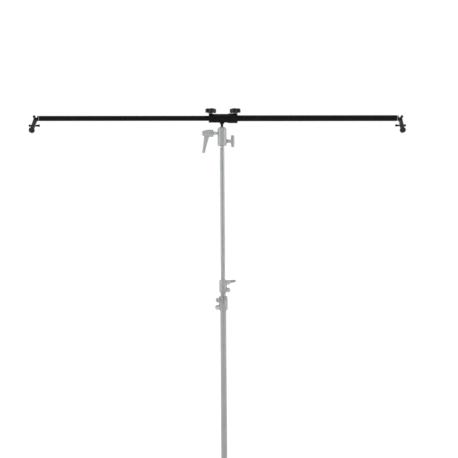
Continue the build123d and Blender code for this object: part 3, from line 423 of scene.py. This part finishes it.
def replaced_by(node, mesh, material=None):
    """Puts a CAD node's finished copy in its place, in its slot's material unless another is given."""
    slot = SLOT_OF[node]
    return add_piece(f"{node}_body", mesh, BODY_OF[node], material or MATERIALS[slot], [node])


def rounded(node, voxel, passes):
    """Replaces a CAD node by a copy with its edges and inside corners rounded, as a casting's."""
    def soften(passing):
        remesh = passing.modifiers.new("remesh", "REMESH")
        remesh.mode = "VOXEL"
        remesh.voxel_size = voxel * MM
        smooth = passing.modifiers.new("smooth", "SMOOTH")
        smooth.factor = 0.5
        smooth.iterations = passes
        thin = passing.modifiers.new("thin", "DECIMATE")
        thin.ratio = CASTING_KEPT

    mesh = frozen(welded(node), soften)
    smooth_by_angle(mesh, degrees=60)
    return replaced_by(node, mesh)


def chamfered(node, material=None):
    """Replaces a CAD node by a copy whose sharp edges have a small round."""
    def ease(passing):
        plain = passing.modifiers.new("plain", "DECIMATE")
        plain.decimate_type = "DISSOLVE"
        plain.angle_limit = FLAT_ANGLE
        bevel = passing.modifiers.new("bevel", "BEVEL")
        bevel.width = EDGE_ROUND * MM
        bevel.segments = 2
        bevel.limit_method = "ANGLE"
        bevel.angle_limit = EDGE_ANGLE
        bevel.harden_normals = True

    mesh = frozen(welded(node), ease)
    smooth_by_angle(mesh, degrees=40)
    return replaced_by(node, mesh, material)


def frame_at(place, axis, along=None):
    """A matrix at a place: z along axis, x as near as it can be to along."""
    z = Vector(axis).normalized()
    guide = Vector(along or ((0, 0, 1) if abs(z.z) < 0.9 else (1, 0, 0)))
    x = (guide - z * guide.dot(z)).normalized()
    y = z.cross(x)
    return Matrix.Translation(place) @ Matrix((x, y, z)).transposed().to_4x4()


def eased(outline, steps=4):
    """An outline's (radius, height) points with arcs at those that carry a third value."""
    points = []
    for i, point in enumerate(outline):
        here = Vector(point[:2])
        reach = point[2] if len(point) > 2 else 0
        if not reach:
            points.append(here)
            continue
        back = (Vector(outline[i - 1][:2]) - here).normalized() * reach
        on = (Vector(outline[(i + 1) % len(outline)][:2]) - here).normalized() * reach
        for k in range(steps + 1):
            t = k / steps
            points.append(here + back * (1 - t) ** 2 + on * t**2)
    return points


def add_ring(skin, where, height, reach, segments):
    """A ring of corners about where's z axis, reach(angle) mm from it and height mm along it."""
    ring = []
    for k in range(segments):
        angle = tau * k / segments
        place = Vector((cos(angle) * reach(angle), sin(angle) * reach(angle), height))
        ring.append(skin.verts.new(where @ (place * MM)))
    return ring


def add_skin(skin, rings):
    """Faces between each ring of corners and the next; a ring may be a single corner."""
    for one, other in zip(rings, rings[1:]):
        count = max(len(one), len(other))
        for k in range(count):
            on = (k + 1) % count
            below = [one[k % len(one)], one[on % len(one)]]
            above = [other[on % len(other)], other[k % len(other)]]
            skin.faces.new(list(dict.fromkeys(below + above)))


def lathe(where, outline, segments=72):
    """A solid turned about where's z axis from an outline in mm that starts and ends on it."""
    skin = bmesh.new()
    rings = []
    for radius, height in eased(outline):
        if radius < 1e-6:
            rings.append([skin.verts.new(where @ Vector((0, 0, height * MM)))])
        else:
            rings.append(add_ring(skin, where, height, lambda angle: radius, segments))
    add_skin(skin, rings)
    bmesh.ops.recalc_face_normals(skin, faces=skin.faces)
    return to_mesh(skin)


def to_mesh(skin, degrees=35):
    mesh = bpy.data.meshes.new("piece")
    skin.to_mesh(mesh)
    skin.free()
    smooth_by_angle(mesh, degrees)
    return mesh


def wire(points, radius, sides=10):
    """A round wire through world points, with a flat end at each end."""
    skin = bmesh.new()
    rings = []
    side = None
    for i, point in enumerate(points):
        ahead = points[min(i + 1, len(points) - 1)]
        behind = points[max(i - 1, 0)]
        along = (ahead - behind).normalized()
        guide = side or along.orthogonal()
        side = (guide - along * guide.dot(along)).normalized()
        up = along.cross(side)
        rings.append([
            skin.verts.new(point + (side * cos(tau * k / sides) + up * sin(tau * k / sides)) * radius)
            for k in range(sides)
        ])
    add_skin(skin, rings)
    skin.faces.new(rings[0])
    skin.faces.new(rings[-1])
    bmesh.ops.recalc_face_normals(skin, faces=skin.faces)
    return to_mesh(skin, degrees=50)


def joined(meshes):
    """Several meshes as one."""
    skin = bmesh.new()
    for mesh in meshes:
        skin.from_mesh(mesh)
    return to_mesh(skin)


def helix(where, radius, start, rise, turns, dead=0.0, steps=28):
    """Points in mm of a helix about where's z axis; dead is the share of closed turns at an end."""
    points = []
    count = ceil((turns + 2 * dead) * steps)
    for k in range(count + 1):
        turn = (turns + 2 * dead) * k / count
        height = start + rise * min(max((turn - dead) / turns, 0), 1)
        place = Vector((cos(tau * turn) * radius, sin(tau * turn) * radius, height))
        points.append(where @ (place * MM))
    return points


# ---------------------------------------------------------------------- the stand
FLOOR_R = 40.0  # in metres


def dress(node, material):
    """Gives a CAD node that keeps its own shape a finished material."""
    mesh_object = frame["nodes"][node]
    for slot in mesh_object.material_slots:
        slot.material = material
    if not mesh_object.material_slots:
        mesh_object.data.materials.append(material)


def dress_plain_nodes():
    for node, slot in SLOT_OF.items():
        is_leg = node.startswith("leg_") and slot == "stand_tube"
        dress(node, MATERIALS["leg_tube" if is_leg else slot])


def add_floor():
    skin = bmesh.new()
    bmesh.ops.create_circle(skin, cap_ends=True, segments=128, radius=FLOOR_R)
    floor = bpy.data.objects.new("floor", to_mesh(skin))
    bpy.context.scene.collection.objects.link(floor)
    floor.data.materials.append(floor_paint())


# Voxel size in mm and smoothing passes: the more of both, the rounder the casting
CASTINGS = {
    "lower_clutch_casting": (0.6, 5),
    "upper_clutch_casting": (0.6, 5),
    "head_housing": (0.6, 3),
    "ratchet_lever": (0.6, 8),
    "receiver_t_knob": (0.5, 6),
    "lower_clutch_t_handle": (0.5, 6),
    "upper_clutch_t_handle": (0.5, 6),
    "center_block": (0.7, 4),
    "leg_collar_low": (0.7, 5),
    "leg_collar_mid": (0.7, 5),
    "leg_collar_high": (0.7, 5),
    "base_ring": (0.6, 2),
    "spring_collar": (0.6, 2),
    "foot_cap_low": (0.6, 3),
    "foot_cap_mid": (0.6, 3),
    "foot_cap_high": (0.6, 3),
    "right_clamp_knuckle": (0.4, 4),
    "left_clamp_knuckle": (0.4, 4),
    "right_front_jaw": (0.35, 3),
    "left_front_jaw": (0.35, 3),
    "right_rear_jaw": (0.35, 3),
    "left_rear_jaw": (0.35, 3),
    "right_wing_screw": (0.35, 6),
    "left_wing_screw": (0.35, 6),
}
EAR_FACE_R = 11.6  # the machined face round a clutch's screw
EAR_FLAT = 0.96  # least cosine between a machined face's normal and the screw
TURNED = (
    "lower_clutch_bolt", "upper_clutch_bolt", "top_spigot", "ratchet_screw", "spacer_washer",
    "right_end_ring", "left_end_ring",
)


def machine_ears(casting, handle_joint, bolt):
    """Bares the metal on a clutch's flat ear faces: round the two screws and in the saw cut."""
    low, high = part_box(bolt)
    screws = [
        (Vector(JOINTS[handle_joint]["pos_m"]), Vector(JOINTS[handle_joint]["axis"])),
        ((Vector(low) + Vector(high)) / 2, Vector((0, 1, 0))),
    ]
    casting.data.materials.append(MATERIALS["machined"])
    for face in casting.data.polygons:
        for place, axis in screws:
            offset = face.center - place
            across = offset - axis * offset.dot(axis)
            if abs(face.normal.dot(axis)) > EAR_FLAT and across.length < EAR_FACE_R * MM:
                face.material_index = 1


def add_castings():
    made = {node: rounded(node, voxel, passes) for node, (voxel, passes) in CASTINGS.items()}
    for clutch in ("lower", "upper"):
        machine_ears(made[f"{clutch}_clutch_casting"], f"{clutch}_handle_turn", f"{clutch}_clutch_bolt")
    for node in TURNED:
        chamfered(node, MATERIALS["dull_plate"] if node.endswith("end_ring") else None)
    for side in SIDES:
        chamfered(f"{side}_tilt_bolt", MATERIALS["black_steel"])


# ------------------------------------------------------------------ block knobs
KNOB_LOBES = 4
KNOB_REACH = 32.0
KNOB_FLUTE_R = 13.0
KNOB_FLUTE_AT = KNOB_REACH + 2
KNOB_BLUR = [radians(1.3 * step) for step in range(-4, 5)]  # rounds the lobes' corners
KNOB_HEIGHT = 25.0
KNOB_RIBS = 72
KNOB_RIB_STEPS = 6  # corners across a rib
KNOB_RIB = 0.14  # height of a rib
KNOB_TURN = {"left": 200.0, "right": -20.0}
KNOB_RIBBED = (4.6, 20.0)  # between these heights the side has ribs
# The grip from its foot up: (radius, height) below, (height, inset from the plan) up
# its side, (share of round, radius, height) over its top
KNOB_FOOT = [(4.2, -2.0), (8.9, -2.0), (9.5, -1.4), (9.5, 1.2), (12.5, 1.2), (14, 0.0)]
KNOB_RIM = [
    (0, 4.5), (0.4, 2.6), (1.6, 1.0), (3.2, 0.3), (4.6, 0), (9, -0.25), (14, -0.3),
    (18.5, 0), (20.6, 0.7), (22.6, 2.0), (24.0, 3.8), (24.8, 6.2), (25.0, 8.6),
]
KNOB_DISH = [(0.4, 13.5, 25.0), (0.85, 11.6, 24.9), (1, 11.0, 24.6), (1, 10.6, 23.0), (1, 5, 23.0)]
KNOB_CAP = [(0, 22.8), (10.2, 22.8), (10.2, 24.6, 0.8), (7.5, 25.0, 1.5), (0, 25.0)]
KNOB_STUD_R = 4.0
KNOB_FLANGE = [(4, -3.8), (10.6, -3.8, 0.3), (10.6, -2.1, 0.3), (4, -2.1), (4, 20), (0, 20)]


def knob_reach(angle):
    """The grip's plan radius in mm at an angle from the middle of a lobe, corners softened."""
    total = 0.0
    for shift in KNOB_BLUR:
        from_lobe = abs((angle + shift + pi / KNOB_LOBES) % (tau / KNOB_LOBES) - pi / KNOB_LOBES)
        from_flute = pi / KNOB_LOBES - from_lobe
        across = KNOB_FLUTE_AT * sin(from_flute)
        reach = KNOB_REACH
        if across < KNOB_FLUTE_R:
            flute = KNOB_FLUTE_AT * cos(from_flute) - sqrt(KNOB_FLUTE_R**2 - across**2)
            reach = min(reach, flute)
        total += reach
    return total / len(KNOB_BLUR)


def knob_side(angle, height, inset):
    """The plan radius of the grip's side, which has upright ribs on its middle."""
    low, high = KNOB_RIBBED
    rib = KNOB_RIB * cos(KNOB_RIBS * angle) if low < height < high else 0
    return min(knob_reach(angle) - inset, KNOB_REACH - 2 * KNOB_RIB) + rib


def knob_top(angle, share, radius):
    """The plan radius of the grip's top, which goes from lobed to round as share goes to 1."""
    return (knob_reach(angle) - KNOB_RIM[-1][1]) * (1 - share) + radius * share


def add_block_knob(side):
    """A moulded grip with ribbed lobes and a dished top, its cap, and its plated insert."""
    node = f"block_knob_{side}"
    low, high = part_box(node)
    turn_axis = JOINTS[f"{side}_knob_turn"]["pos_m"]
    foot = Vector((turn_axis[0], turn_axis[1], high[2] - KNOB_HEIGHT * MM))
    where = Matrix.Translation(foot) @ Matrix.Rotation(radians(KNOB_TURN[side]), 4, "Z")
    segments = KNOB_RIBS * KNOB_RIB_STEPS
    skin = bmesh.new()
    rings = [
        add_ring(skin, where, height, lambda angle: radius, segments) for radius, height in KNOB_FOOT
    ]
    rings += [
        add_ring(skin, where, height, lambda angle: knob_side(angle, height, inset), segments)
        for height, inset in KNOB_RIM
    ]
    rings += [
        add_ring(skin, where, height, lambda angle: knob_top(angle, share, radius), segments)
        for share, radius, height in KNOB_DISH
    ]
    add_skin(skin, rings)
    skin.faces.new(rings[0])
    skin.faces.new(rings[-1])
    bmesh.ops.recalc_face_normals(skin, faces=skin.faces)
    body = BODY_OF[node]
    plastic, steel = MATERIALS["black_plastic"], MATERIALS["plated_steel"]
    grip = to_mesh(skin, degrees=40)
    add_piece(f"{node}_grip", grip, body, plastic, [node])
    add_piece(f"{node}_cap", lathe(where, KNOB_CAP), body, plastic)
    tip = (low[2] - foot.z) / MM
    stud = [(0, tip), (KNOB_STUD_R - 0.8, tip, 0.3), (KNOB_STUD_R, tip + 0.8, 0.3)] + KNOB_FLANGE
    add_piece(f"{node}_insert", lathe(where, stud), body, steel)


# ------------------------------------------------------------------- clamp pads
PAD_R = 16.0
PAD_FACE = 3.0  # from the clip's middle plane
PAD_FLOOR = 3.7  # the bottom of the rings in its face
PAD_GROOVES = (12.6, 9.2, 5.8, 2.6)
PAD_GROOVE = [(0, PAD_FACE), (0.3, PAD_FLOOR), (1.1, PAD_FLOOR), (1.4, PAD_FACE)]  # (inwards, height)
PAD_BACK = 13.9
PAD_NECK_R = 15.4  # a groove round its side
# (radius, height, round) from the middle of its dished back to the edge of its face
PAD_SHELL = [
    (0, PAD_BACK - 0.9), (9.0, PAD_BACK - 0.9), (9.8, PAD_BACK - 0.1), (11.4, PAD_BACK, 0.5),
    (14.2, PAD_BACK - 0.2, 1.0), (PAD_R, PAD_BACK - 2.2, 1.4), (PAD_R, 9.9, 0.4), (PAD_NECK_R, 9.3, 0.4),
    (PAD_NECK_R, 8.5, 0.4), (PAD_R, 7.9, 0.4), (PAD_R, PAD_FACE, 1.2),
]


def add_pads(side):
    """Two rubber discs with ringed gripping faces and a dished back."""
    mount = next(m for m in RECORD["mounts"] if m["name"] == f"{side}_clamp_pad")
    centre = Vector(mount["pos_m"])
    centre.y = 0
    grooves = [(radius - inwards, height) for radius in PAD_GROOVES for inwards, height in PAD_GROOVE]
    outline = PAD_SHELL + grooves + [(0, PAD_FACE)]
    rubber = MATERIALS["rubber"]
    for jaw, back in (("front", -1), ("rear", 1)):
        node = f"{side}_{jaw}_pad"
        disc = lathe(frame_at(centre, (0, back, 0), along=(1, 0, 0)), outline, segments=96)
        add_piece(f"{node}_disc", disc, BODY_OF[node], rubber, [node])


# ------------------------------------------------------------- springs, threads
# Each spring's mean radius, its wire's radius, and its open turns
LEG_COIL = (21.5, 1.6, 3.6)
RATCHET_COIL = (6, 0.8, 5)
JAW_COIL = (4.6, 0.7, 4)
SPRING_CLOSED = 0.9  # turns that lie closed at each end
THREAD_R = 2.9
THREAD_START = -25.0  # along the joint's axis, from its place
THREAD_LENGTH = 20.0
THREAD_PITCH = 1.0
THREAD_RIDGE = 0.3  # the ridge's radius as a share of the pitch


def add_spring(node, place, axis, coil, length):
    """A coil spring, length metres long, that starts at a place and runs along an axis."""
    radius, wire_r, turns = coil
    rise = length / MM - 2 * wire_r
    points = helix(frame_at(place, axis), radius, wire_r, rise, turns, dead=SPRING_CLOSED)
    coil_mesh = wire(points, wire_r * MM)
    slot = SLOT_OF[node]
    return add_piece(f"{node}_wire", coil_mesh, BODY_OF[node], MATERIALS[slot], [node])


def add_ratchet_spring():
    """The lever's spring, given a mesh of its own."""
    low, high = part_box("ratchet_spring")
    _, y, z = JOINTS["lever_turn"]["pos_m"]
    length = high[0] - low[0]
    spring = add_spring("ratchet_spring", (high[0], y, z), (-1, 0, 0), RATCHET_COIL, length)
    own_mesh(spring)


def add_springs():
    low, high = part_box("leg_spring")
    add_spring("leg_spring", (0, 0, low[2]), (0, 0, 1), LEG_COIL, high[2] - low[2])
    add_ratchet_spring()
    for side in SIDES:
        x, _, z = JOINTS[f"{side}_wing_turn"]["pos_m"]
        low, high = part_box(f"{side}_jaw_spring")
        add_spring(f"{side}_jaw_spring", (x, low[1], z), (0, 1, 0), JAW_COIL, high[1] - low[1])


def add_wing_thread(side):
    """The raised thread of a wing screw, a thin rolled ridge along its shank."""
    wing = JOINTS[f"{side}_wing_turn"]
    where = frame_at(wing["pos_m"], wing["axis"])
    points = helix(where, THREAD_R, THREAD_START, THREAD_LENGTH, THREAD_LENGTH / THREAD_PITCH)
    ridge = wire(points, THREAD_PITCH * THREAD_RIDGE * MM, sides=6)
    steel = MATERIALS["plated_steel"]
    add_piece(f"{side}_wing_thread", ridge, f"{side}_wing_body", steel)


# ----------------------------------------------------------------- rubber feet
FOOT_R = 15.0
FOOT_RIBS = 4
FOOT_RIB_STEP = 5.5
FOOT_RIB_FIRST = 34.0  # from the leg's tip
FOOT_RIB_R = 0.9
FOOT_RIB_SINK = 0.2  # how far a rib's middle lies under the cap's surface
FOOT_RIB_FROM = -50.0  # degrees from level, where a rib starts
FOOT_RIB_TURN = 280.0
FOOT_RIB_PARTS = 48
LEG_ANGLE = {"low": 0.0, "mid": 120.0, "high": 240.0}
LEG_SHELF = 100.0
LEG_KNEE_Z = 36.0
LEG_SLOPE = radians(50.0)
LEG_REACH = 470.0
LEG_END_Z = 16.0


def add_foot_ribs(leg):
    """Ribs round the cap's sleeve, open at the bottom where the flat pad is."""
    node = f"foot_cap_{leg}"
    low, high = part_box(f"leg_collar_{leg}")
    exit_z = (low[2] + high[2]) / 2 / MM
    knee = LEG_SHELF + (exit_z - LEG_KNEE_Z) / tan(LEG_SLOPE)
    angle = radians(LEG_ANGLE[leg])
    out = Vector((cos(angle), sin(angle), 0))
    tip = (out * LEG_REACH + Vector((0, 0, LEG_END_Z))) * MM
    along = (out * (LEG_REACH - knee) - Vector((0, 0, LEG_KNEE_Z - LEG_END_Z))).normalized()
    across = along.cross(Vector((0, 0, 1))).normalized()
    up = across.cross(along)
    reach = (FOOT_R - FOOT_RIB_SINK) * MM
    arc = []
    for step in range(FOOT_RIB_PARTS + 1):
        turn = radians(FOOT_RIB_FROM + FOOT_RIB_TURN * step / FOOT_RIB_PARTS)
        arc.append((across * cos(turn) + up * sin(turn)) * reach)
    ridges = []
    for k in range(FOOT_RIBS):
        centre = tip - along * (FOOT_RIB_FIRST - FOOT_RIB_STEP * k) * MM
        ridges.append(wire([centre + point for point in arc], FOOT_RIB_R * MM, sides=8))
    add_piece(f"{node}_ribs", joined(ridges), BODY_OF[node], MATERIALS["rubber"])


add_camera()
add_world()
add_floor()
for name, (place, aim, size, watts) in SOFTBOXES.items():
    add_softbox(name, place, aim, size, watts)
bpy.context.scene.view_settings.view_transform = "Standard"

dress_plain_nodes()
add_castings()
add_springs()
for side in SIDES:
    add_block_knob(side)
    add_pads(side)
    add_wing_thread(side)
for leg in LEG_ANGLE:
    add_foot_ribs(leg)
